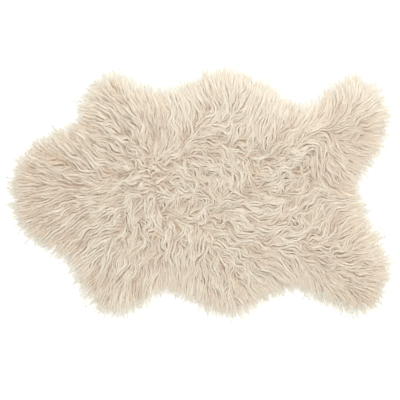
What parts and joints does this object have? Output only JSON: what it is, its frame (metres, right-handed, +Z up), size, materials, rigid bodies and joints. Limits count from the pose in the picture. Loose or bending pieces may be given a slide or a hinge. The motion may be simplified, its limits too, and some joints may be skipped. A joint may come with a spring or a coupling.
{
  "type": "shag rug",
  "caption": "Small long-pile rug cut in a sheepskin outline. It lies flat on a floor and gives a soft, warm surface underfoot.",
  "frame": {"origin": "middle of the underside, at the centre of the box that holds the whole rug with its rim locks", "axes": "+X along the rug's length, towards the end with the deep notch between two lobes; +Z up out of the wool"},
  "size_m": [0.9, 0.59, 0.0496],
  "materials": {
    "wool": "long, soft cream wool in wavy locks, matt with a faint sheen along the strands",
    "backing": "plain brushed cloth back, matt"
  },
  "bodies": {
    "root": {"fleece": "wool"}
  },
  "joints": []
}
